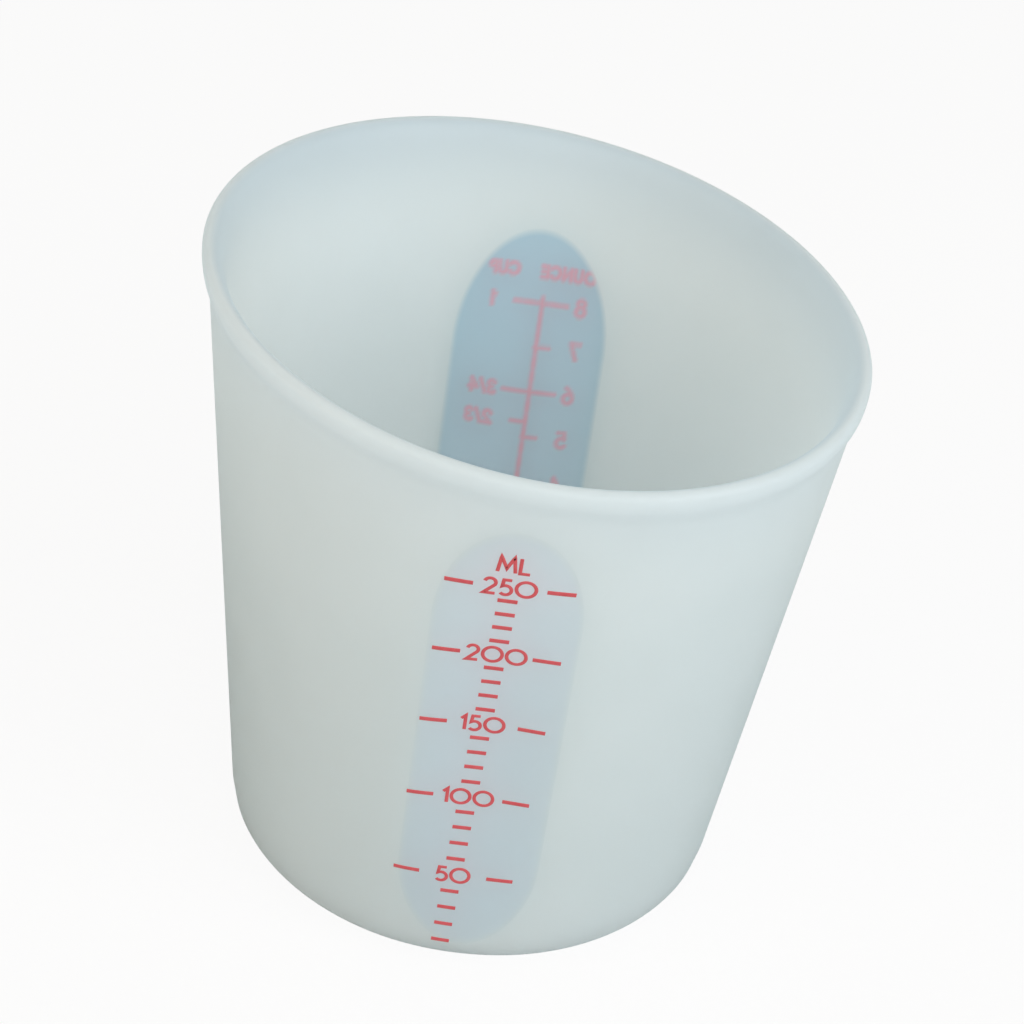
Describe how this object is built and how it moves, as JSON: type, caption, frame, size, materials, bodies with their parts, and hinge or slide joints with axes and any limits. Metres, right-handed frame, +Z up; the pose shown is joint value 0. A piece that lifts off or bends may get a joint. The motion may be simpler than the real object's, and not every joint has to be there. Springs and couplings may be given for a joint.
{
  "type": "silicone measuring cup",
  "caption": "Soft tapered measuring cup with a flared sloping lip, clear windows at front and rear, and printed millilitre and ounce scales.",
  "frame": {"origin": "middle of the flat base, on the table", "axes": "+Z up along the cup, -Y out of the front through the millilitre window, +X to the right of that view"},
  "size_m": [0.0867, 0.0867, 0.0907],
  "materials": {
    "milky_silicone": "satin",
    "clear_silicone": "gloss",
    "red_ink": "matte"
  },
  "bodies": {
    "root": {"cup_body": "milky_silicone", "front_window": "clear_silicone", "rear_window": "clear_silicone", "ml_heading_m": "red_ink", "ml_heading_l": "red_ink", "ml_10_tick": "red_ink", "ml_20_tick": "red_ink", "ml_30_tick": "red_ink", "ml_40_tick": "red_ink", "ml_50_digit_1": "red_ink", "ml_50_digit_2": "red_ink", "ml_50_tick_left": "red_ink", "ml_50_tick_right": "red_ink", "ml_60_tick": "red_ink", "ml_70_tick": "red_ink", "ml_80_tick": "red_ink", "ml_90_tick": "red_ink", "ml_100_digit_1": "red_ink", "ml_100_digit_2": "red_ink", "ml_100_digit_3": "red_ink", "ml_100_tick_left": "red_ink", "ml_100_tick_right": "red_ink", "ml_110_tick": "red_ink", "ml_120_tick": "red_ink", "ml_130_tick": "red_ink", "ml_140_tick": "red_ink", "ml_150_digit_1": "red_ink", "ml_150_digit_2": "red_ink", "ml_150_digit_3": "red_ink", "ml_150_tick_left": "red_ink", "ml_150_tick_right": "red_ink", "ml_160_tick": "red_ink", "ml_170_tick": "red_ink", "ml_180_tick": "red_ink", "ml_190_tick": "red_ink", "ml_200_digit_1": "red_ink", "ml_200_digit_2": "red_ink", "ml_200_digit_3": "red_ink", "ml_200_tick_left": "red_ink", "ml_200_tick_right": "red_ink", "ml_210_tick": "red_ink", "ml_220_tick": "red_ink", "ml_230_tick": "red_ink", "ml_240_tick": "red_ink", "ml_250_digit_1": "red_ink", "ml_250_digit_2": "red_ink", "ml_250_digit_3": "red_ink", "ml_250_tick_left": "red_ink", "ml_250_tick_right": "red_ink", "ounce_1": "red_ink", "ounce_2": "red_ink", "ounce_3": "red_ink", "ounce_4": "red_ink", "ounce_5": "red_ink", "ounce_6": "red_ink", "ounce_7": "red_ink", "ounce_8": "red_ink", "ounce_spine": "red_ink"}
  },
  "joints": []
}
